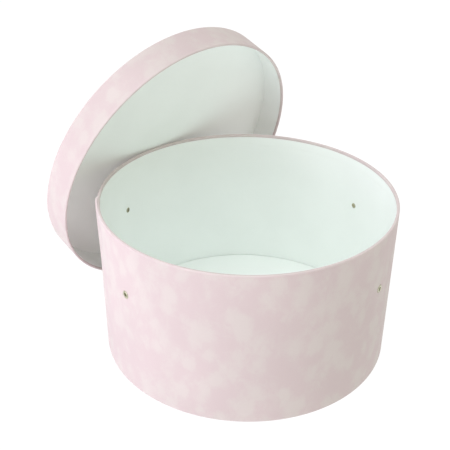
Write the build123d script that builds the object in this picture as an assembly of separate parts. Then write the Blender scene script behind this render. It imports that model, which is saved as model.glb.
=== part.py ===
from build123d import *
import os
from math import cos, pi, radians, sin, sqrt

# A round hat box of rigid cardboard with a lift-off lid. Millimetres, +Z up.
# The origin is the centre of the underside. +X runs through the middle of the right-hand pair of
# eyelets. The lid stands on the floor behind the box on its open edge and leans on the rim.

# Box body
BOX_RADIUS = 190.0          # outside of the cover
BOX_HEIGHT = 211.0          # floor to rim
BOARD = 2.6                 # greyboard of the wall and base

# Papers
COVER = 0.5                 # suede-effect cover paper
LINING = 0.3                # lining and underside paper
TAPE = 0.2                  # gummed paper tape
TURN_OVER = 15.0            # cover paper turned over an edge, and each leg of the binding tape
BARE_TURN_IN = 3.4          # strip of turned-in cover that shows above the lining
COVER_LAP = 12.0            # width of the overlap where a strip of cover closes
LAP_STEP = 0.4              # how far the overlap stands proud
LAP_ROOT = COVER / 2        # how deep the overlap is rooted in the cover under it
SEAM_TAPE_WIDTH = 25.0
SEAM_TAPE_MARGIN = 2.0      # how far the tape over a joint stops short of what is at its ends
BUTT_GAP = 0.4              # gap where the two ends of a board strip meet
EDGE_ROUND = 0.7            # roundness of covered edges
PAPER_INSET = 1.5           # how far the top and underside discs stop short of the edge

# Floor pad
FLOOR_CARD = 1.0
FLOOR_GAP = 0.8             # open joint round the floor pad

# Lid
LID_DEPTH = 43.0            # outside, open edge to top
LID_BOARD = 2.2
LID_PLAY = 1.7              # radial play of the closed lid on the box

# Eyelets
EYELET_BORE = 2.5           # radius
EYELET_BARREL = 2.9         # radius
EYELET_FLANGE = 5.2         # radius, outside the wall
EYELET_ROLL = 3.7           # radius of the rolled end inside the wall
EYELET_DOME = 0.9           # height of the flange outside the wall, and its roundness
EYELET_CURL = 0.8           # depth of the rolled end inside it
EYELET_DROP = 72.0          # below the rim
EYELET_HALF_SPREAD = 33.8   # degrees from the middle of a pair
RIGHT_PAIR = 0.0            # azimuth of the middle of each pair
LEFT_PAIR = 186.0
PUNCH_LENGTH = 30.0         # of the punch that makes the holes, well through the wall

# Azimuths of the joints and seams
WALL_JOINT = 100.0
WALL_SEAM = 186.0
LID_JOINT = 60.0            # about the lid's own axis, from its own X
LID_SEAM = -11.5

# How the lid leans: the way its opening faces, its lean from upright, its shift to the side
LID_FACING = -47.1
LID_LEAN = 17.9
LID_SIDE = 22.9
REST_GAP = 0.3              # between lid and rim, and between lid and floor

# Radii, outside to inside, worked out from the driving values
BOARD_OUT = BOX_RADIUS - COVER
BOARD_IN = BOARD_OUT - BOARD
TURN_IN_FACE = BOARD_IN - COVER
LINING_FACE = BOARD_IN - LINING
LID_TURN_IN_FACE = BOX_RADIUS + LID_PLAY + LINING
LID_BOARD_IN = LID_TURN_IN_FACE + COVER
LID_BOARD_OUT = LID_BOARD_IN + LID_BOARD
LID_RADIUS = LID_BOARD_OUT + COVER

# Heights
COVER_FOOT = LINING                          # the turned-under cover lies on the underside paper
TAPE_FOOT = COVER_FOOT + COVER
BOARD_FOOT = TAPE_FOOT + TAPE
BOARD_TOP = BOX_HEIGHT - COVER
BASE_TOP = BOARD_FOOT + BOARD
LINING_TOP = BOX_HEIGHT - BARE_TURN_IN
TURN_IN_END = BOX_HEIGHT - TURN_OVER
EYELET_HEIGHT = BOX_HEIGHT - EYELET_DROP
LID_COVER_TOP = LID_DEPTH - COVER
LID_TAPE_TOP = LID_COVER_TOP - COVER
LID_BOARD_TOP = LID_TAPE_TOP - TAPE
LID_CEILING = LID_BOARD_TOP - LID_BOARD      # underside of the lid's top board
LID_LINING_FACE = LID_CEILING - LINING


def section(points, rounded=()):
    """A closed outline of (radius, height) points, with the corners named in rounded softened."""
    face = make_face(Polyline(*points, close=True))
    corners = [v for v in face.vertices() if any(abs(v.X - x) + abs(v.Y - z) < 1e-6 for x, z in rounded)]
    return fillet(corners, EDGE_ROUND) if corners else face


def turned(outline, arc=360.0, middle=0.0):
    """The outline turned about +Z, all round or through an arc centred on the azimuth middle."""
    solid = revolve(Plane.XZ * outline, axis=Axis.Z, revolution_arc=arc)
    return Rot(0, 0, middle - arc / 2) * solid


def arc_degrees(width, radius):
    return width / radius * 180.0 / pi


def ring(inner, outer, low, high):
    return turned(section([(inner, low), (outer, low), (outer, high), (inner, high)]))


def disc(radius, low, high):
    return turned(section([(0, low), (radius, low), (radius, high), (0, high)]))


def strip_with_joint(inner, outer, low, high, azimuth):
    """A strip of board bent into a ring, its two ends meeting at a narrow butt joint."""
    saw = Box(2 * (outer - inner), BUTT_GAP, 2 * (high - low))
    cut = Pos((inner + outer) / 2, 0, (low + high) / 2) * saw
    return ring(inner, outer, low, high) - Rot(0, 0, azimuth) * cut


def seam_tape(radius, low, high, azimuth):
    """A strip of tape over a butt joint, on the outside of the board."""
    outline = section([(radius, low), (radius + TAPE, low), (radius + TAPE, high), (radius, high)])
    return turned(outline, arc_degrees(SEAM_TAPE_WIDTH, radius), azimuth)


def eyelet_azimuths():
    for pair, middle in (("right", RIGHT_PAIR), ("left", LEFT_PAIR)):
        turn = EYELET_HALF_SPREAD if pair == "right" else -EYELET_HALF_SPREAD
        yield f"eyelet_back_{pair}", middle + turn
        yield f"eyelet_front_{pair}", middle - turn


def eyelet_plane(azimuth):
    """On the outside of the wall, its Z along the eyelet's axis, pointing out."""
    out = (cos(radians(azimuth)), sin(radians(azimuth)), 0)
    return Plane(origin=(BOX_RADIUS * out[0], BOX_RADIUS * out[1], EYELET_HEIGHT), z_dir=out)


def punched(wall):
    """The wall piece with the four eyelet holes punched through it."""
    for _, azimuth in eyelet_azimuths():
        wall -= eyelet_plane(azimuth) * Cylinder(EYELET_BARREL, PUNCH_LENGTH)
    return wall


# ---- Box body ----

def wall_board():
    return punched(strip_with_joint(BOARD_IN, BOARD_OUT, BOARD_FOOT, BOARD_TOP, WALL_JOINT))


def wall_seam_tape():
    low, high = TURN_OVER + SEAM_TAPE_MARGIN, BOARD_TOP - SEAM_TAPE_MARGIN
    return seam_tape(BOARD_OUT, low, high, WALL_JOINT)


def base_board():
    """Fills the foot of the wall, its underside rebated for the turned-under cover and tape."""
    rebate = BOARD_OUT + TAPE - TURN_OVER
    return turned(section([
        (0, COVER_FOOT), (rebate, COVER_FOOT), (rebate, BOARD_FOOT),
        (BOARD_IN, BOARD_FOOT), (BOARD_IN, BASE_TOP), (0, BASE_TOP),
    ]))


def base_binding_tape():
    inner = BOARD_OUT + TAPE - TURN_OVER
    return turned(section([
        (inner, TAPE_FOOT), (BOARD_OUT + TAPE, TAPE_FOOT), (BOARD_OUT + TAPE, TURN_OVER),
        (BOARD_OUT, TURN_OVER), (BOARD_OUT, BOARD_FOOT), (inner, BOARD_FOOT),
    ]))


def wall_cover():
    """Wraps the wall, turned in over the rim and under the base, thinner over the tapes."""
    inner = BOARD_OUT + TAPE - TURN_OVER
    outside_edges = [(BOX_RADIUS, BOX_HEIGHT), (BOX_RADIUS, COVER_FOOT)]
    wrap = turned(section([
        (BOX_RADIUS, COVER_FOOT), (BOX_RADIUS, BOX_HEIGHT), (TURN_IN_FACE, BOX_HEIGHT),
        (TURN_IN_FACE, TURN_IN_END), (BOARD_IN, TURN_IN_END), (BOARD_IN, BOARD_TOP),
        (BOARD_OUT, BOARD_TOP), (BOARD_OUT, TURN_OVER), (BOARD_OUT + TAPE, TURN_OVER),
        (BOARD_OUT + TAPE, TAPE_FOOT), (inner, TAPE_FOOT), (inner, COVER_FOOT),
    ], outside_edges))
    lap_foot, top = COVER_FOOT + EDGE_ROUND, BOX_HEIGHT + LAP_STEP
    outside, inside = BOX_RADIUS + LAP_STEP, TURN_IN_FACE - LAP_STEP
    lap = turned(section([
        (BOX_RADIUS - LAP_ROOT, lap_foot), (outside, lap_foot), (outside, top), (inside, top),
        (inside, LINING_TOP), (TURN_IN_FACE + LAP_ROOT, LINING_TOP),
        (TURN_IN_FACE + LAP_ROOT, BOX_HEIGHT - LAP_ROOT), (BOX_RADIUS - LAP_ROOT, BOX_HEIGHT - LAP_ROOT),
    ], [(outside, top)]), arc_degrees(COVER_LAP, BOX_RADIUS), WALL_SEAM)
    return punched(wrap + lap - wall_seam_tape())


def underside_paper():
    return disc(BOX_RADIUS - PAPER_INSET, 0, LINING)


def wall_lining():
    """From the base board up over the turned-in cover, stopping a little below the rim."""
    return punched(turned(section([
        (BOARD_IN, BASE_TOP), (BOARD_IN, TURN_IN_END), (TURN_IN_FACE, TURN_IN_END),
        (TURN_IN_FACE, LINING_TOP), (TURN_IN_FACE - LINING, LINING_TOP),
        (TURN_IN_FACE - LINING, TURN_IN_END - LINING), (LINING_FACE, TURN_IN_END - LINING),
        (LINING_FACE, BASE_TOP),
    ])))


def floor_card():
    return disc(LINING_FACE - FLOOR_GAP - LINING, BASE_TOP, BASE_TOP + FLOOR_CARD)


def floor_lining():
    """Covers the floor card and is turned down over its edge."""
    edge = LINING_FACE - FLOOR_GAP
    top = BASE_TOP + FLOOR_CARD + LINING
    return turned(section([
        (0, top - LINING), (edge - LINING, top - LINING), (edge - LINING, BASE_TOP),
        (edge, BASE_TOP), (edge, top), (0, top),
    ]))


def eyelet():
    """Brass: a domed flange outside, a barrel through the wall and a rolled end inside."""
    inner_wall = -(BOX_RADIUS - sqrt(LINING_FACE ** 2 - EYELET_ROLL ** 2))
    mouth, dome = EYELET_DOME / 3, EYELET_DOME
    middle_of_roll = (EYELET_ROLL + EYELET_BORE) / 2
    profile = make_face([
        Line((EYELET_BORE, inner_wall), (EYELET_BORE, mouth)),
        RadiusArc((EYELET_BORE, mouth), (EYELET_BORE + dome, dome), dome),
        Line((EYELET_BORE + dome, dome), (EYELET_FLANGE - dome, dome)),
        RadiusArc((EYELET_FLANGE - dome, dome), (EYELET_FLANGE, 0), dome),
        Line((EYELET_FLANGE, 0), (EYELET_BARREL, 0)),
        Line((EYELET_BARREL, 0), (EYELET_BARREL, inner_wall)),
        Line((EYELET_BARREL, inner_wall), (EYELET_ROLL, inner_wall)),
        ThreePointArc((EYELET_ROLL, inner_wall), (middle_of_roll, inner_wall - EYELET_CURL),
                      (EYELET_BORE, inner_wall)),
    ])
    return revolve(Plane.XZ * profile, axis=Axis.Z)


# ---- Lid, modelled with its open edge at z = 0 and its top up ----

def lid_top_board():
    return disc(LID_BOARD_IN, LID_CEILING, LID_BOARD_TOP)


def lid_skirt_board():
    return strip_with_joint(LID_BOARD_IN, LID_BOARD_OUT, COVER, LID_BOARD_TOP, LID_JOINT)


def lid_skirt_seam_tape():
    low, high = COVER + SEAM_TAPE_MARGIN, LID_DEPTH - TURN_OVER - SEAM_TAPE_MARGIN
    return seam_tape(LID_BOARD_OUT, low, high, LID_JOINT)


def lid_binding_tape():
    inner = LID_BOARD_OUT + TAPE - TURN_OVER
    foot = LID_DEPTH - TURN_OVER
    return turned(section([
        (inner, LID_TAPE_TOP), (LID_BOARD_OUT + TAPE, LID_TAPE_TOP), (LID_BOARD_OUT + TAPE, foot),
        (LID_BOARD_OUT, foot), (LID_BOARD_OUT, LID_BOARD_TOP), (inner, LID_BOARD_TOP),
    ]))


def lid_skirt_cover():
    """Wraps the skirt, turned in over the open edge and over the top, thinner over the tapes."""
    inner = LID_BOARD_OUT + TAPE - TURN_OVER
    foot = LID_DEPTH - TURN_OVER
    wrap = turned(section([
        (LID_RADIUS, 0), (LID_RADIUS, LID_COVER_TOP), (inner, LID_COVER_TOP), (inner, LID_TAPE_TOP),
        (LID_BOARD_OUT + TAPE, LID_TAPE_TOP), (LID_BOARD_OUT + TAPE, foot), (LID_BOARD_OUT, foot),
        (LID_BOARD_OUT, COVER), (LID_BOARD_IN, COVER), (LID_BOARD_IN, TURN_OVER),
        (LID_TURN_IN_FACE, TURN_OVER), (LID_TURN_IN_FACE, 0),
    ], [(LID_RADIUS, 0), (LID_RADIUS, LID_COVER_TOP)]))
    lap_top = LID_COVER_TOP - EDGE_ROUND
    outside, inside = LID_RADIUS + LAP_STEP, LID_TURN_IN_FACE - LAP_STEP
    lap = turned(section([
        (LID_RADIUS - LAP_ROOT, lap_top), (outside, lap_top), (outside, -LAP_STEP), (inside, -LAP_STEP),
        (inside, BARE_TURN_IN), (LID_TURN_IN_FACE + LAP_ROOT, BARE_TURN_IN),
        (LID_TURN_IN_FACE + LAP_ROOT, LAP_ROOT), (LID_RADIUS - LAP_ROOT, LAP_ROOT),
    ], [(outside, -LAP_STEP)]), arc_degrees(COVER_LAP, LID_RADIUS), LID_SEAM)
    return wrap + lap - lid_skirt_seam_tape()


def lid_top_cover():
    """Lies on the top board and rises over the ring of turned-over skirt cover round its edge."""
    step = LID_BOARD_OUT + TAPE - TURN_OVER
    return turned(section([
        (0, LID_BOARD_TOP), (step, LID_BOARD_TOP), (step, LID_COVER_TOP),
        (LID_RADIUS - PAPER_INSET, LID_COVER_TOP), (LID_RADIUS - PAPER_INSET, LID_DEPTH),
        (step - COVER, LID_DEPTH), (step - COVER, LID_BOARD_TOP + COVER), (0, LID_BOARD_TOP + COVER),
    ]))


def lid_top_lining():
    return disc(LID_BOARD_IN - LINING, LID_LINING_FACE, LID_CEILING)


def lid_skirt_lining():
    """From the lid's top board down over the turned-in cover, stopping short of the open edge."""
    return turned(section([
        (LID_BOARD_IN, LID_CEILING), (LID_BOARD_IN, TURN_OVER), (LID_TURN_IN_FACE, TURN_OVER),
        (LID_TURN_IN_FACE, BARE_TURN_IN), (LID_TURN_IN_FACE - LINING, BARE_TURN_IN),
        (LID_TURN_IN_FACE - LINING, TURN_OVER - LINING), (LID_BOARD_IN - LINING, TURN_OVER - LINING),
        (LID_BOARD_IN - LINING, LID_CEILING),
    ]))


def lid_rest():
    """Where the lid stands: open edge on the floor, inside face against the back of the rim.

    The plane's origin is the centre of the open edge and its Z points out through the lid's top.
    """
    lean, facing = radians(LID_LEAN), radians(LID_FACING)
    faces = Vector(cos(facing), sin(facing), 0)
    side = Vector(-sin(facing), cos(facing), 0)
    opens = faces * cos(lean) - Vector(0, 0, sin(lean))
    height = LID_RADIUS * cos(lean) + REST_GAP
    rim = -BOX_RADIUS * cos(lean) - BOX_HEIGHT * sin(lean)
    back = -(rim + LID_LINING_FACE - REST_GAP + height * sin(lean)) / cos(lean)
    centre = faces * -back + side * LID_SIDE + Vector(0, 0, height)
    return Plane(origin=centre, x_dir=side * -1, z_dir=opens * -1)


BOX_PIECES = (
    wall_board, wall_seam_tape, base_board, base_binding_tape, wall_cover, underside_paper,
    wall_lining, floor_card, floor_lining,
)
LID_PIECES = (
    lid_top_board, lid_skirt_board, lid_skirt_seam_tape, lid_binding_tape, lid_skirt_cover,
    lid_top_cover, lid_top_lining, lid_skirt_lining,
)


def all_pieces():
    """Every piece in its place, by node name."""
    pieces = {make.__name__: make() for make in BOX_PIECES}
    for name, azimuth in eyelet_azimuths():
        pieces[name] = eyelet_plane(azimuth) * eyelet()
    place = lid_rest()
    for make in LID_PIECES:
        pieces[make.__name__] = place * make()
    return pieces


os.makedirs("parts", exist_ok=True)
for node, piece in all_pieces().items():
    export_step(piece, f"parts/{node}.step")
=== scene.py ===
from math import ceil, cos, pi, radians, sin

import bmesh
import bpy
import numpy as np
from mathutils import Matrix, Vector


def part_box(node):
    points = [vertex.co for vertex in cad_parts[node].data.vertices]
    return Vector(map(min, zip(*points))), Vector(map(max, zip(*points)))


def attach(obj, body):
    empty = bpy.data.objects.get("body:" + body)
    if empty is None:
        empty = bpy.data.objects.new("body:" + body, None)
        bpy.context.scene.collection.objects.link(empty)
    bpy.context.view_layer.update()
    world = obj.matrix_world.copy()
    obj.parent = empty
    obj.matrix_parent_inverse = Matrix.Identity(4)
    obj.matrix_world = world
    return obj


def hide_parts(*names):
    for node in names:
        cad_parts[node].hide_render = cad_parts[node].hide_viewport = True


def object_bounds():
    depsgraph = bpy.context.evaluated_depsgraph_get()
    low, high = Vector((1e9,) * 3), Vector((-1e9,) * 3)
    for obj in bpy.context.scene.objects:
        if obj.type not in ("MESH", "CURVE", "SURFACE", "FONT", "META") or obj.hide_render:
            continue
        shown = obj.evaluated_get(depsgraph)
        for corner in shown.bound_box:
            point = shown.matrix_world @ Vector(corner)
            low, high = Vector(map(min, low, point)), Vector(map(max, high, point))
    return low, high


# A round hat box: its papers, eyelets and boards as they look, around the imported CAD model. Metres.

MM = 0.001

# Papers
COVER = 0.5 * MM            # suede-effect cover paper
LINING = 0.3 * MM
TURN_OVER = 15 * MM         # cover turned over an edge
BARE_TURN_IN = 3.4 * MM     # turned-in cover that shows above the lining
EDGE_BEND = 0.75 * MM       # roundness of a covered edge
RIM_BEND = 1.1 * MM         # roundness of the box's rim
OPEN_EDGE_BEND = 1.45 * MM  # roundness of the lid's open edge
PAPER_RAMP = 1.2 * MM       # length over which a paper climbs over the edge of the one below it

# The overlap where a strip of cover closes: a step that fades out into the strip
WALL_STEP = 1.8 * MM        # at the rim, where the end of the strip stands off the wall
WALL_STEP_LENGTH = 75 * MM  # from the rim down to where the strip lies flat again
STEP_MIDDLE = 0.6           # share of the step that is left half-way down
STEP_INSIDE = 0.3           # share of the step on the turned-in cover
WALL_STEP_RISE = 0.12       # degrees over which the step rises
LID_STEP_HEIGHT = 0.6 * MM
LID_STEP_RISE = 0.35
PLY_FADE = 18.0             # degrees
WALL_SEAM = 184.2           # azimuth, degrees
LID_SEAM = -11.5            # degrees about the lid's axis, from its level X

# Eyelets
EYELET_BORE = 2.5 * MM
EYELET_BARREL = 2.9 * MM
EYELET_FLANGE = 5.2 * MM
EYELET_ROLL = 3.7 * MM
EYELET_DOME = 0.9 * MM      # height of the flange outside the wall
EYELET_CURL = 0.8 * MM      # depth of the rolled end inside it
EYELET_SINK = 0.1 * MM      # how far the flange is pressed into the paper
EYELET_SPLITS = 8
SPLIT_DEPTH = 0.3 * MM
SPLIT_WIDTH = 7.0           # degrees

# Mesh fineness
AROUND = 480                # steps round the box
EYELET_AROUND = 96
RUN_STEP = 12 * MM          # longest step along a straight run of an outline
RUB_ZONE = 1.5 * MM         # how far rubbing reaches from a bend
BEND_STEP = 15.0            # degrees
SHARP_ANGLE = 35.0          # degrees; edges that turn more are cut edges
CENTRE = 1e-9               # points nearer than this to the axis of a turned piece are one point

# Patterns of the materials: the size of their features, and the depth of their bumps
SUEDE_STRETCH = (1, 1, 0.75)
SUEDE_TURN = (35, 20, 0)    # degrees
CLOUD_SIZE = 30 * MM
BLOTCH_SPACING = 21 * MM
WISP_SIZE = 8 * MM
DRIFT_SIZE = 110 * MM       # slow change of shade over the suede
WEAR_SIZE = 9 * MM          # patches in the rubbed edges
NAP_SIZE = 0.45 * MM
BLOTCH_SHARE = 0.36
WISP_SHARE = 0.36
NAP_DEPTH = 0.05 * MM
CLOUD_DEPTH = 0.12 * MM
MOTTLE_SIZE = 60 * MM
STRAND_SIZE = 1.6 * MM
TOOTH_SIZE = 0.35 * MM
PAPER_DEPTH = 0.02 * MM
PAPER_ROUGHNESS = 0.55
BOARD_FIBRE = 1.2 * MM
KRAFT_FIBRE = 0.8 * MM
FIBRE_DEPTH = 0.06 * MM
TARNISH_SIZE = 1.6 * MM
SCUFF_SIZE = 0.3 * MM
SCUFF_DEPTH = 0.01 * MM

# Colours, linear
PINK = (0.645, 0.545, 0.548)
CREAM = (0.663, 0.597, 0.578)
RUBBED = (0.680, 0.590, 0.592)
MINT = (0.905, 0.943, 0.922)
UNDERSIDE_PINK = (0.80, 0.66, 0.68)
BRASS = (0.62, 0.61, 0.46)
GREYBOARD = (0.36, 0.34, 0.31)
KRAFT = (0.42, 0.28, 0.16)
CARD = (0.78, 0.77, 0.74)
BLACK = (0, 0, 0)
WHITE = (1, 1, 1)

# Studio
FLOOR_SIZE = 30.0
FLOOR_GAP = 0.05 * MM       # between the floor and the underside of the box
FLOOR_GLOW = 0.94
FLOOR_GREY = 0.10
WORLD_LEFT = (1.12, 1.04, 1.18)
WORLD_RIGHT = (0.325, 0.31, 0.20)
WORLD_TOP = (1.08, 1.10, 1.115)
WORLD_SIDE_REACH = 0.52     # how far round from the left the right-hand colour is reached
WORLD_TOP_START = 0.15      # height in the sky where the colour of the top sets in
LIGHT_BOUNCES = 8

# Each area light: its place, what it points at, its size, its power in watts and its colour
LIGHTS = {
    "left": ((-2.3, -0.9, 0.8), (0, 0, 0.15), 1.2, 7.4, (1.0, 0.95, 1.06)),
    "upper_left": ((-0.95, -0.8, 1.9), (0, 0, 0.2), 1.0, 9.9, WHITE),
    "upper_right": ((0.7, -0.5, 2.1), (0, 0, 0.2), 1.0, 2.4, WHITE),
    "low_left": ((-0.75, -0.75, 0.05), (0, 0, 0.05), 0.6, 4.1, (1.0, 0.93, 1.06)),
    "front_left": ((-1.1, -2.2, 0.6), (0, 0, 0.2), 1.2, 0.3, WHITE),
    "front_right": ((1.7, -1.7, 0.9), (0, 0, 0.2), 1.2, 1.3, (0.98, 1.0, 0.88)),
    "low_right": ((0.95, -0.75, 0.05), (0, 0, 0.05), 0.6, 0.8, (1.0, 0.97, 0.86)),
}

CAMERA_PLACE = (-0.0294, -0.9094, 0.6850)
CAMERA_HEADING = 90.65      # degrees, azimuth of the view direction
CAMERA_DIP = 32.40          # degrees below level
CAMERA_LENS = 64.46
CAMERA_SHIFT = (0.0198, 0.0832)

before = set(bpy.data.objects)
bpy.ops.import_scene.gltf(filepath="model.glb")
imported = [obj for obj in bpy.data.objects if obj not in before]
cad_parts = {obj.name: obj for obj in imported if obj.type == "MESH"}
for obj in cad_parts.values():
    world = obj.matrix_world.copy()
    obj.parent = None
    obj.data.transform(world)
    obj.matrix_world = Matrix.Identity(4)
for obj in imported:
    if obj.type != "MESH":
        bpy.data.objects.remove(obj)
cad_low, cad_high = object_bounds()


# ---- Places and sizes read from the frame ----

def vertices(node):
    return np.array([v.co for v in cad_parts[node].data.vertices], float)


def lid_placement():
    """The lid's own frame: origin at the centre of its top board, Z out through its top, X level."""
    points = vertices("lid_top_board")
    middle = points.mean(axis=0)
    _, _, directions = np.linalg.svd(points - middle, full_matrices=False)
    axis = Vector(directions[2])
    if axis.z < 0:
        axis = -axis
    level = Vector((-axis.y, axis.x, 0)).normalized()
    across = axis.cross(level)
    u = (points - middle) @ np.array(level)
    v = (points - middle) @ np.array(across)
    radii = np.hypot(u, v)
    rim = radii > 0.9 * radii.max()
    system = np.stack([2 * u[rim], 2 * v[rim], np.ones(rim.sum())], axis=1)
    shift = np.linalg.lstsq(system, u[rim] ** 2 + v[rim] ** 2, rcond=None)[0]
    heights = (points - middle) @ np.array(axis)
    rise = (heights.max() + heights.min()) / 2
    origin = Vector(middle) + level * shift[0] + across * shift[1] + axis * rise
    turn = Matrix((level, across, axis)).transposed().to_4x4()
    return Matrix.Translation(origin) @ turn


def extent(node, place=Matrix()):
    """Smallest and largest radius, and lowest and highest height, about the Z axis of place."""
    to_local = np.array(place.inverted())
    local = vertices(node) @ to_local[:3, :3].T + to_local[:3, 3]
    radii = np.hypot(local[:, 0], local[:, 1])
    return radii.min(), radii.max(), local[:, 2].min(), local[:, 2].max()


def eyelet_placement(node):
    """On the outside of the wall, Z along the eyelet's axis, pointing out."""
    low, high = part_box(node)
    middle = (low + high) / 2
    out = Vector((middle.x, middle.y, 0)).normalized()
    wall = Vector((0, 0, middle.z)) + out * BOX_RADIUS
    turn = Matrix((Vector((0, 0, 1)).cross(out), Vector((0, 0, 1)), out)).transposed().to_4x4()
    return Matrix.Translation(wall) @ turn


LID = lid_placement()
_, BOARD_OUT, BOARD_FOOT, BOARD_TOP = extent("wall_board")
BOX_RADIUS = BOARD_OUT + COVER
BOX_HEIGHT = BOARD_TOP + COVER
BOARD_IN = extent("base_board")[1]
BASE_TOP = extent("base_board")[3]
COVER_FOOT = extent("base_board")[2]
UNDER_TURN_IN = extent("base_binding_tape")[0]
CARD_RADIUS = extent("floor_card")[1]
CARD_TOP = extent("floor_card")[3]
UNDERSIDE_RADIUS = extent("underside_paper")[1]
TURN_IN_FACE = BOARD_IN - COVER
TURN_IN_END = BOX_HEIGHT - TURN_OVER
LINING_TOP = BOX_HEIGHT - BARE_TURN_IN
_, LID_BOARD_OUT, LID_BOARD_FOOT, LID_BOARD_TOP = extent("lid_skirt_board", LID)
_, LID_BOARD_IN, LID_CEILING, _ = extent("lid_top_board", LID)
LID_STEP, _, _, LID_TAPE_TOP = extent("lid_binding_tape", LID)
LID_TOP_RADIUS = extent("lid_top_cover", LID)[1]
LID_RADIUS = LID_BOARD_OUT + COVER
LID_FOOT = LID_BOARD_FOOT - COVER
LID_TURN_IN_FACE = LID_BOARD_IN - COVER
LID_TURN_IN_END = LID_FOOT + TURN_OVER
LID_LINING_FOOT = LID_FOOT + BARE_TURN_IN
LID_COVER_TOP = LID_TAPE_TOP + COVER


# ---- Outlines turned about an axis ----

def bend_arc(before, corner, after, bend):
    """Points of the arc of radius bend that rounds a corner."""
    back = (before - corner).normalized()
    on = (after - corner).normalized()
    turn = pi - back.angle(on)
    reach = bend / cos(turn / 2)
    centre = corner + (back + on).normalized() * reach
    start = corner + back * reach * sin(turn / 2) - centre
    end = corner + on * reach * sin(turn / 2) - centre
    steps = max(2, ceil(turn / radians(BEND_STEP)))
    shares = [k / steps for k in range(steps + 1)]
    return [centre + (start * sin((1 - s) * turn) + end * sin(s * turn)) / sin(turn) for s in shares]


def run_points(start, end):
    """Points between the ends of a straight run, close to each end where it is long."""
    length = (end - start).length
    if length < 3 * RUB_ZONE:
        return []
    steps = ceil((length - 2 * RUB_ZONE) / RUN_STEP)
    stops = [RUB_ZONE + (length - 2 * RUB_ZONE) * k / steps for k in range(steps + 1)]
    return [start.lerp(end, stop / length) for stop in stops]


def outline(corners):
    """A closed outline of (point, lift, rub) from corners of (radius, height, bend, lift)."""
    spots = [Vector((c[0], c[1])) for c in corners]
    rounded = []
    for i, (_, _, bend, lift) in enumerate(corners):
        if bend:
            arc = bend_arc(spots[i - 1], spots[i], spots[(i + 1) % len(spots)], bend)
        else:
            arc = [spots[i]]
        rounded.append([(point, lift, 1.0 if bend else 0.0) for point in arc])
    whole = []
    for i, arc in enumerate(rounded):
        following = rounded[(i + 1) % len(rounded)][0]
        whole += arc
        start, lift = arc[-1][:2]
        end, next_lift = following[:2]
        for point in run_points(start, end):
            share = (point - start).length / (end - start).length
            whole.append((point, lift + (next_lift - lift) * share, 0.0))
    return whole


def outward(points):
    """The outward normals of a closed outline."""
    area = sum(a.x * b.y - a.y * b.x for a, b in zip(points, points[1:] + points[:1]))
    sign = 1 if area > 0 else -1
    normals = []
    for i, _ in enumerate(points):
        along = (points[(i + 1) % len(points)] - points[i - 1]).normalized()
        normals.append(Vector((along.y, -along.x)) * sign)
    return normals


def turned(name, corners, place=Matrix(), proud=None, around=AROUND, extra_angles=()):
    """A closed mesh: the outline turned about place's Z, with its lifted points proud(angle) higher."""
    spots = outline(corners)
    points = [point for point, _, _ in spots]
    normals = outward(points)
    angles = sorted({360.0 * k / around for k in range(around)} | {a % 360 for a in extra_angles})
    made, rub, index = [], [], {}
    for i, angle in enumerate(angles):
        height = proud(angle) if proud else 0.0
        for j, (point, lift, rubbed) in enumerate(spots):
            if i and point.x < CENTRE:
                index[i, j] = index[0, j]
                continue
            at = point + normals[j] * (lift * height)
            index[i, j] = len(made)
            made.append((at.x * cos(radians(angle)), at.x * sin(radians(angle)), at.y))
            rub.append(rubbed)
    faces = []
    for i in range(len(angles)):
        for j in range(len(spots)):
            after, beside = (i + 1) % len(angles), (j + 1) % len(spots)
            face = [index[i, j], index[i, beside], index[after, beside], index[after, j]]
            face = [v for k, v in enumerate(face) if v not in face[:k]]
            if len(face) > 2:
                faces.append(face)
    mesh = bpy.data.meshes.new(name)
    mesh.from_pydata(made, [], faces)
    mesh.attributes.new("rub", "FLOAT", "POINT").data.foreach_set("value", rub)
    mesh.transform(place)
    piece = bpy.data.objects.new(name, mesh)
    bpy.context.scene.collection.objects.link(piece)
    finish_mesh(mesh)
    return piece


def finish_mesh(mesh):
    """Outward faces, smooth except across cut edges."""
    work = bmesh.new()
    work.from_mesh(mesh)
    bmesh.ops.recalc_face_normals(work, faces=work.faces)
    work.to_mesh(mesh)
    work.free()
    smooth(mesh)


def smooth(mesh):
    mesh.shade_smooth()
    mesh.set_sharp_from_angle(angle=radians(SHARP_ANGLE))


def overlap(seam, step, rise):
    """The height of a paper's overlap: a crisp step at the seam that fades out round the strip."""
    def proud(angle):
        past = (angle - seam) % 360
        if past < rise:
            return step * past / rise
        share = min(1.0, past / PLY_FADE)
        return step * (1 + cos(pi * share)) / 2
    return proud


def seam_angles(seam, rise):
    """Angles that give the step of an overlap its own columns of points."""
    return [seam + rise * k / 3 for k in range(4)]


def punched(piece):
    """The paper with the four eyelet holes cut through it."""
    cutters = []
    for node in EYELETS:
        corners = [(0, -RUN_STEP, 0, 0), (EYELET_BARREL, -RUN_STEP, 0, 0),
                   (EYELET_BARREL, RUN_STEP, 0, 0), (0, RUN_STEP, 0, 0)]
        cutter = turned("cutter", corners, eyelet_placement(node), around=EYELET_AROUND)
        cutters.append(cutter)
        cut = piece.modifiers.new("hole", "BOOLEAN")
        cut.operation = "DIFFERENCE"
        cut.solver = "EXACT"
        cut.object = cutter
    graph = bpy.context.evaluated_depsgraph_get()
    mesh = bpy.data.meshes.new_from_object(piece.evaluated_get(graph))
    piece.modifiers.clear()
    piece.data = mesh
    for cutter in cutters:
        bpy.data.objects.remove(cutter)
    smooth(mesh)
    return piece


# ---- Materials ----

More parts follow.
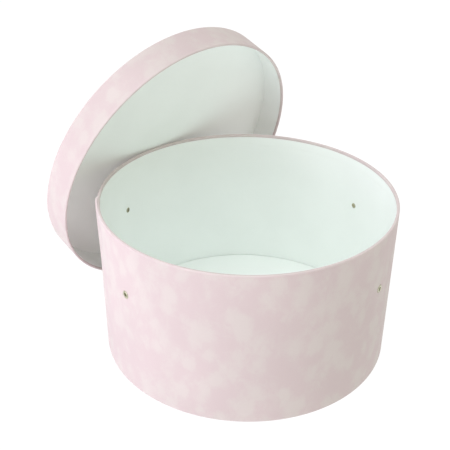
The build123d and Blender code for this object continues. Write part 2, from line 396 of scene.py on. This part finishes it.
class Shader:
    """A material built from nodes around one Principled shader."""

    def __init__(self, name, **values):
        self.material = bpy.data.materials.new(name)
        self.material.use_nodes = True
        self.tree = self.material.node_tree
        self.surface = self.tree.nodes["Principled BSDF"]
        for socket, value in values.items():
            self.surface.inputs[socket.replace("_", " ")].default_value = value

    def node(self, kind, inputs=None, **settings):
        """A node with its settings, its inputs linked from sockets or set to values."""
        made = self.tree.nodes.new(kind)
        for name, value in settings.items():
            setattr(made, name, value)
        for socket, source in (inputs or {}).items():
            if isinstance(source, bpy.types.NodeSocket):
                self.tree.links.new(source, made.inputs[socket])
            else:
                made.inputs[socket].default_value = source
        return made

    def place(self, stretch=(1, 1, 1), turn=(0, 0, 0)):
        """Coordinates on the piece itself, turned and stretched."""
        coordinates = self.node("ShaderNodeTexCoord")
        mapping = self.node("ShaderNodeMapping", {
            "Vector": coordinates.outputs["Object"],
            "Rotation": [radians(a) for a in turn],
            "Scale": stretch,
        })
        return mapping.outputs["Vector"]

    def noise(self, place, size, detail=2.0, roughness=0.5, distortion=0.0):
        """Noise whose features are about size metres across."""
        made = self.node("ShaderNodeTexNoise", {
            "Vector": place, "Scale": 1 / size, "Detail": detail, "Roughness": roughness,
            "Distortion": distortion,
        })
        return made.outputs["Fac"]

    def blotches(self, place, spacing):
        """Soft round blotches, brightest at their middles, about spacing metres apart."""
        cells = self.node("ShaderNodeTexVoronoi", {
            "Vector": place, "Scale": 1 / spacing, "Smoothness": 0.8, "Randomness": 1.0,
        }, feature="SMOOTH_F1")
        return self.ramp(cells.outputs["Distance"], [(0.0, 1.0), (0.75, 0.0)])

    def ramp(self, source, stops):
        """Colours or greys at positions along a value, eased between them."""
        made = self.node("ShaderNodeValToRGB", {"Fac": source})
        made.color_ramp.interpolation = "EASE"
        elements = made.color_ramp.elements
        while len(elements) < len(stops):
            elements.new(0.5)
        for element, (position, colour) in zip(elements, stops):
            element.position = position
            grey = isinstance(colour, (int, float))
            element.color = (colour, colour, colour, 1) if grey else (*colour, 1)
        return made.outputs["Color"]

    def mix(self, first, second, share=1.0, blend="MIX"):
        """Two colours or greys blended by share, which is a number or a socket."""
        made = self.node("ShaderNodeMix", data_type="RGBA", blend_type=blend)
        names = {"Factor": share, "A": first, "B": second}
        for socket in made.inputs:
            if not socket.enabled or socket.name not in names:
                continue
            value = names[socket.name]
            if isinstance(value, bpy.types.NodeSocket):
                self.tree.links.new(value, socket)
            else:
                socket.default_value = value
        return next(o for o in made.outputs if o.enabled)

    def colour(self, source):
        self.tree.links.new(source, self.surface.inputs["Base Color"])

    def bump(self, heights):
        """Bumps from (height, depth in metres) pairs, one on another."""
        normal = None
        for height, depth in heights:
            inputs = {"Height": height, "Distance": depth, "Strength": 1.0}
            if normal:
                inputs["Normal"] = normal
            normal = self.node("ShaderNodeBump", inputs).outputs["Normal"]
        self.tree.links.new(normal, self.surface.inputs["Normal"])

    def rough(self, source):
        self.tree.links.new(source, self.surface.inputs["Roughness"])


def pink_suede_paper():
    """Suede-effect paper: soft cream clouds on pink, a fine nap, and edges rubbed paler."""
    shader = Shader("pink_suede_paper", Roughness=0.85, Sheen_Weight=0.12, Sheen_Roughness=0.5,
                    Specular_IOR_Level=0.25)
    leaning = shader.place(SUEDE_STRETCH, SUEDE_TURN)
    clouds = shader.noise(leaning, CLOUD_SIZE, detail=3.0, roughness=0.55, distortion=0.3)
    wisps = shader.noise(leaning, WISP_SIZE, detail=4.0, roughness=0.68, distortion=0.6)
    blotches = shader.blotches(leaning, BLOTCH_SPACING)
    weather = shader.mix(shader.mix(clouds, blotches, BLOTCH_SHARE), wisps, WISP_SHARE)
    paper = shader.ramp(weather, [(0.37, PINK), (0.59, CREAM)])
    drift = shader.ramp(shader.noise(leaning, DRIFT_SIZE, detail=1.0), [(0.35, 0.97), (0.65, 1.0)])
    paper = shader.mix(paper, drift, 1.0, "MULTIPLY")
    nap = shader.noise(shader.place(stretch=(1, 1, 0.6)), NAP_SIZE, detail=3.0, roughness=0.65)
    paper = shader.mix(paper, shader.ramp(nap, [(0.3, 0.95), (0.7, 1.0)]), 1.0, "MULTIPLY")
    rub = shader.node("ShaderNodeAttribute", attribute_name="rub").outputs["Fac"]
    worn = shader.mix(rub, shader.noise(leaning, WEAR_SIZE, detail=2.0), 1.0, "MULTIPLY")
    shader.colour(shader.mix(paper, (*RUBBED, 1), worn))
    shader.rough(shader.ramp(weather, [(0.35, 0.9), (0.65, 0.8)]))
    shader.bump([(nap, NAP_DEPTH), (clouds, CLOUD_DEPTH)])
    return shader.material


def plain_paper(name, colour, fibre):
    """A smooth printed paper: faint mottling, short fibres as dark as the share fibre, a fine tooth."""
    shader = Shader(name, Roughness=PAPER_ROUGHNESS, Specular_IOR_Level=0.35)
    flat = shader.place()
    mottle = shader.noise(flat, MOTTLE_SIZE, detail=2.0)
    paper = shader.ramp(mottle, [(0.35, shade(colour, 0.985)), (0.65, colour)])
    strands = shader.noise(shader.place(stretch=(1, 1, 3), turn=(20, 30, 0)), STRAND_SIZE, detail=4.0)
    paper = shader.mix(paper, shader.ramp(strands, [(0.4, fibre), (0.55, 1.0)]), 1.0, "MULTIPLY")
    shader.colour(paper)
    tooth = shader.noise(flat, TOOTH_SIZE, detail=2.0)
    shader.rough(shader.ramp(strands, [(0.3, PAPER_ROUGHNESS - 0.05), (0.7, PAPER_ROUGHNESS + 0.08)]))
    shader.bump([(tooth, PAPER_DEPTH), (strands, PAPER_DEPTH)])
    return shader.material


def fibrous(name, dark, light, size):
    """Board or kraft paper: pressed fibres with darker flecks."""
    shader = Shader(name, Roughness=0.9, Specular_IOR_Level=0.2)
    along = shader.place(stretch=(1, 1, 4))
    fibres = shader.noise(along, size, detail=6.0, roughness=0.7, distortion=0.5)
    flecks = shader.noise(shader.place(), size * 2, detail=2.0)
    board = shader.ramp(fibres, [(0.3, dark), (0.7, light)])
    board = shader.mix(board, shader.ramp(flecks, [(0.28, 0.6), (0.36, 1.0)]), 1.0, "MULTIPLY")
    shader.colour(board)
    shader.bump([(fibres, FIBRE_DEPTH)])
    return shader.material


def eyelet_brass():
    """Plated brass, a little tarnished and scuffed."""
    shader = Shader("eyelet_brass", Metallic=1.0, Roughness=0.3)
    tarnish = shader.noise(shader.place(), TARNISH_SIZE, detail=3.0)
    scuffs = shader.noise(shader.place(stretch=(1, 1, 6)), SCUFF_SIZE)
    shader.colour(shader.ramp(tarnish, [(0.35, shade(BRASS, 0.6)), (0.6, BRASS)]))
    shader.rough(shader.ramp(tarnish, [(0.35, 0.42), (0.65, 0.24)]))
    shader.bump([(scuffs, SCUFF_DEPTH)])
    return shader.material


def shade(colour, share):
    """The colour, darkened to a share of its brightness."""
    return tuple(channel * share for channel in colour)


MATERIALS = {
    "pink_suede_paper": pink_suede_paper(),
    "pink_paper": plain_paper("pink_paper", UNDERSIDE_PINK, 0.95),
    "mint_lining_paper": plain_paper("mint_lining_paper", MINT, 0.985),
    "eyelet_brass": eyelet_brass(),
    "greyboard": fibrous("greyboard", shade(GREYBOARD, 0.7), GREYBOARD, BOARD_FIBRE),
    "kraft_tape": fibrous("kraft_tape", shade(KRAFT, 0.75), KRAFT, KRAFT_FIBRE),
    "white_card": plain_paper("white_card", CARD, 0.9),
}


# ---- The pieces ----

def dress(piece, body, slot, *nodes):
    """Gives a finished piece its material and its body, and hides the CAD nodes that it stands for."""
    piece.data.materials.clear()
    piece.data.materials.append(MATERIALS[slot])
    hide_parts(*nodes)
    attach(piece, body)


def wall_cover():
    """Wraps the wall, turned in over the rim and under the base."""
    flat = BOX_HEIGHT - WALL_STEP_LENGTH
    corners = [
        (UNDER_TURN_IN, COVER_FOOT, 0, 0), (BOX_RADIUS, COVER_FOOT, EDGE_BEND, 0),
        (BOX_RADIUS, flat, 0, 0), (BOX_RADIUS, (flat + BOX_HEIGHT) / 2, 0, STEP_MIDDLE),
        (BOX_RADIUS, BOX_HEIGHT, RIM_BEND, 1), (TURN_IN_FACE, BOX_HEIGHT, RIM_BEND, STEP_INSIDE),
        (TURN_IN_FACE, LINING_TOP + LINING, 0, STEP_INSIDE),
        (TURN_IN_FACE, LINING_TOP, 0, 0), (TURN_IN_FACE, TURN_IN_END, 0, 0),
        (BOARD_IN, TURN_IN_END, 0, 0), (BOARD_IN, BOARD_TOP, 0, 0),
        (BOARD_OUT, BOARD_TOP, 0, 0), (BOARD_OUT, BOARD_FOOT - LINING, 0, 0),
        (UNDER_TURN_IN, BOARD_FOOT - LINING, 0, 0),
    ]
    step = overlap(WALL_SEAM, WALL_STEP, WALL_STEP_RISE)
    angles = seam_angles(WALL_SEAM, WALL_STEP_RISE)
    return punched(turned("wall_cover_paper", corners, proud=step, extra_angles=angles))


def lining_corners(board, turn_in, turn_in_end, edge, start):
    """A lining that climbs from the board's face over the turned-in cover, between two heights."""
    up = 1 if edge > start else -1
    before, over = turn_in_end - up * PAPER_RAMP, turn_in_end + up * LINING
    return [
        (board, start, 0, 0), (board, before, 0, 0), (turn_in, turn_in_end, 0, 0),
        (turn_in, edge, 0, 0), (turn_in - LINING, edge, 0, 0),
        (turn_in - LINING, over, 0, 0), (board - LINING, before, 0, 0), (board - LINING, start, 0, 0),
    ]


def wall_lining():
    """From the base board up over the turned-in cover."""
    corners = lining_corners(BOARD_IN, TURN_IN_FACE, TURN_IN_END, LINING_TOP, BASE_TOP)
    return punched(turned("wall_lining_paper", corners))


def floor_lining():
    """Covers the floor card and is turned down over its edge."""
    edge, top = CARD_RADIUS + LINING, CARD_TOP + LINING
    corners = [
        (0, CARD_TOP, 0, 0), (CARD_RADIUS, CARD_TOP, 0, 0), (CARD_RADIUS, BASE_TOP, 0, 0),
        (edge, BASE_TOP, 0, 0), (edge, top, LINING, 0), (0, top, 0, 0),
    ]
    return turned("floor_lining_paper", corners)


def underside_paper():
    """Lies over the turned-in end of the cover, under the base."""
    corners = [(0, 0, 0, 0), (UNDERSIDE_RADIUS, 0, 0, 0),
               (UNDERSIDE_RADIUS, COVER_FOOT, 0, 0), (0, COVER_FOOT, 0, 0)]
    return turned("underside_paper_disc", corners)


def eyelet(node):
    """A domed flange outside, a barrel through the wall and a rolled end inside, split as it curled."""
    inside = BOX_RADIUS - TURN_IN_FACE - COVER + LINING - EYELET_SINK
    dome, curl = EYELET_DOME, EYELET_CURL
    mouth, shoulder, edge = dome * 0.8, dome * 0.5, dome * 0.2
    roll_outside, roll_inside = curl * 0.6, curl * 0.5
    corners = [
        (EYELET_BORE, -inside, 0, 0), (EYELET_BORE, dome, mouth, 0),
        (EYELET_FLANGE - dome / 2, dome, shoulder, 0), (EYELET_FLANGE, dome / 4, edge, 0),
        (EYELET_FLANGE, -EYELET_SINK, 0, 0), (EYELET_BARREL, -EYELET_SINK, 0, 0),
        (EYELET_BARREL, -inside, 0, 0), (EYELET_ROLL, -inside, 0, 1),
        (EYELET_ROLL, -inside - curl, roll_outside, 1),
        (EYELET_BORE, -inside - curl, roll_inside, 0.3),
    ]

    def split(angle):
        """How far the rolled end is cut back at an angle."""
        pitch = 360 / EYELET_SPLITS
        off = abs((angle + pitch / 2) % pitch - pitch / 2)
        return -SPLIT_DEPTH * max(0.0, 1 - off / SPLIT_WIDTH)

    return turned(node + "_brass", corners, eyelet_placement(node), split, EYELET_AROUND)


def lid_skirt_cover():
    """Wraps the lid's skirt, turned in over the open edge and over the top."""
    corners = [
        (LID_STEP, LID_COVER_TOP, 0, 0), (LID_RADIUS, LID_COVER_TOP, EDGE_BEND, 1),
        (LID_RADIUS, LID_FOOT, OPEN_EDGE_BEND, 1), (LID_TURN_IN_FACE, LID_FOOT, OPEN_EDGE_BEND, 1),
        (LID_TURN_IN_FACE, LID_LINING_FOOT - LINING, 0, 1), (LID_TURN_IN_FACE, LID_LINING_FOOT, 0, 0),
        (LID_TURN_IN_FACE, LID_TURN_IN_END, 0, 0), (LID_BOARD_IN, LID_TURN_IN_END, 0, 0),
        (LID_BOARD_IN, LID_BOARD_FOOT, 0, 0), (LID_BOARD_OUT, LID_BOARD_FOOT, 0, 0),
        (LID_BOARD_OUT, LID_TAPE_TOP, 0, 0), (LID_STEP, LID_TAPE_TOP, 0, 0),
    ]
    step = overlap(LID_SEAM, LID_STEP_HEIGHT, LID_STEP_RISE)
    angles = seam_angles(LID_SEAM, LID_STEP_RISE)
    return turned("lid_skirt_cover_paper", corners, LID, step, extra_angles=angles)


def lid_top_cover():
    """Lies on the top board and climbs over the turned-over skirt cover round its edge."""
    top, low = LID_COVER_TOP + COVER, LID_BOARD_TOP
    corners = [
        (0, low, 0, 0), (LID_STEP - PAPER_RAMP, low, 0, 0), (LID_STEP, LID_COVER_TOP, 0, 0),
        (LID_TOP_RADIUS, LID_COVER_TOP, 0, 0), (LID_TOP_RADIUS, top, COVER * 0.6, 0),
        (LID_STEP - COVER / 2, top, 2 * COVER, 0),
        (LID_STEP - COVER - PAPER_RAMP, low + COVER, 2 * COVER, 0),
        (0, low + COVER, 0, 0),
    ]
    return turned("lid_top_cover_paper", corners, LID)


def lid_top_lining():
    """Lies under the top board, inside the skirt's lining."""
    face, edge = LID_CEILING - LINING, LID_BOARD_IN - LINING
    corners = [(0, face, 0, 0), (edge, face, 0, 0), (edge, LID_CEILING, 0, 0), (0, LID_CEILING, 0, 0)]
    return turned("lid_top_lining_paper", corners, LID)


def lid_skirt_lining():
    """From the lid's top board down over the turned-in cover."""
    corners = lining_corners(LID_BOARD_IN, LID_TURN_IN_FACE, LID_TURN_IN_END, LID_LINING_FOOT, LID_CEILING)
    return turned("lid_skirt_lining_paper", corners, LID)


EYELETS = [node for node in sorted(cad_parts) if node.startswith("eyelet")]

dress(wall_cover(), "box", "pink_suede_paper", "wall_cover")
dress(wall_lining(), "box", "mint_lining_paper", "wall_lining")
dress(floor_lining(), "box", "mint_lining_paper", "floor_lining")
dress(underside_paper(), "box", "pink_paper", "underside_paper")
for eyelet_node in EYELETS:
    dress(eyelet(eyelet_node), "box", "eyelet_brass", eyelet_node)
dress(lid_skirt_cover(), "lid", "pink_suede_paper", "lid_skirt_cover")
dress(lid_top_cover(), "lid", "pink_suede_paper", "lid_top_cover")
dress(lid_top_lining(), "lid", "mint_lining_paper", "lid_top_lining")
dress(lid_skirt_lining(), "lid", "mint_lining_paper", "lid_skirt_lining")

CARRIED_OVER = {
    "greyboard": ["wall_board", "base_board", "lid_top_board", "lid_skirt_board"],
    "kraft_tape": ["wall_seam_tape", "base_binding_tape", "lid_skirt_seam_tape", "lid_binding_tape"],
    "white_card": ["floor_card"],
}
for slot, nodes in CARRIED_OVER.items():
    for node in nodes:
        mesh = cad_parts[node].data
        mesh.materials.clear()
        mesh.materials.append(MATERIALS[slot])


# ---- Stage, light and camera ----

def add_floor():
    half = FLOOR_SIZE / 2
    mesh = bpy.data.meshes.new("studio_floor")
    corners = [(-half, -half, 0), (half, -half, 0), (half, half, 0), (-half, half, 0)]
    mesh.from_pydata(corners, [], [(0, 1, 2, 3)])
    floor = bpy.data.objects.new("studio_floor", mesh)
    floor.location.z = cad_low.z - FLOOR_GAP
    bpy.context.scene.collection.objects.link(floor)
    paint = Shader("studio_white", Roughness=1.0, Specular_IOR_Level=0.0, Emission_Strength=FLOOR_GLOW)
    paint.surface.inputs["Base Color"].default_value = (FLOOR_GREY, FLOOR_GREY, FLOOR_GREY, 1)
    paint.surface.inputs["Emission Color"].default_value = (*WHITE, 1)
    mesh.materials.append(paint.material)


def add_light(name, place, target, size, power, colour):
    data = bpy.data.lights.new(name, "AREA")
    data.size = size
    data.energy = power
    data.color = colour
    light = bpy.data.objects.new(name, data)
    light.location = place
    light.rotation_euler = (Vector(target) - Vector(place)).to_track_quat("-Z", "Y").to_euler()
    bpy.context.scene.collection.objects.link(light)


def add_camera():
    data = bpy.data.cameras.new("camera")
    data.lens = CAMERA_LENS
    data.shift_x, data.shift_y = CAMERA_SHIFT
    camera = bpy.data.objects.new("camera", data)
    camera.location = CAMERA_PLACE
    level = cos(radians(CAMERA_DIP))
    heading = radians(CAMERA_HEADING)
    look = Vector((cos(heading) * level, sin(heading) * level, -sin(radians(CAMERA_DIP))))
    camera.rotation_euler = look.to_track_quat("-Z", "Y").to_euler()
    bpy.context.scene.collection.objects.link(camera)
    bpy.context.scene.camera = camera


def light_world():
    """Soft light from all round, strongest from above and from the left, behind a plain white backdrop."""
    world = bpy.data.worlds.new("studio")
    world.use_nodes = True
    tree = world.node_tree
    split = tree.nodes.new("ShaderNodeSeparateXYZ")
    tree.links.new(tree.nodes.new("ShaderNodeTexCoord").outputs["Generated"], split.inputs["Vector"])
    sides = world_ramp(tree, split.outputs["X"], -1, WORLD_LEFT, WORLD_RIGHT, WORLD_SIDE_REACH)
    height = world_ramp(tree, split.outputs["Z"], WORLD_TOP_START, BLACK, WHITE)
    light = world_mix(tree, height, sides, WORLD_TOP)
    seen = tree.nodes.new("ShaderNodeLightPath").outputs["Is Camera Ray"]
    backdrop = world_mix(tree, seen, light, WHITE)
    tree.links.new(backdrop, tree.nodes["Background"].inputs["Color"])
    bpy.context.scene.world = world


def world_mix(tree, share, source, colour):
    """The source, replaced by one colour as share goes from 0 to 1."""
    blend = tree.nodes.new("ShaderNodeMix")
    blend.data_type = "RGBA"
    factor, first, second = [i for i in blend.inputs if i.enabled][:3]
    tree.links.new(share, factor)
    tree.links.new(source, first)
    second.default_value = (*colour, 1)
    return next(o for o in blend.outputs if o.enabled)


def world_ramp(tree, value, lowest, first, last, reach=1.0):
    """A blend between two colours as value goes from lowest to 1, done at the share reach of the way."""
    share = tree.nodes.new("ShaderNodeMapRange")
    share.inputs["From Min"].default_value = lowest
    tree.links.new(value, share.inputs["Value"])
    ramp = tree.nodes.new("ShaderNodeValToRGB")
    ramp.color_ramp.elements[0].color = (*first, 1)
    ramp.color_ramp.elements[1].color = (*last, 1)
    ramp.color_ramp.elements[1].position = reach
    tree.links.new(share.outputs["Result"], ramp.inputs["Fac"])
    return ramp.outputs["Color"]


add_floor()
light_world()
for light_name, settings in LIGHTS.items():
    add_light(light_name, *settings)
add_camera()
bpy.context.scene.view_settings.view_transform = "Standard"
bpy.context.scene.cycles.diffuse_bounces = LIGHT_BOUNCES
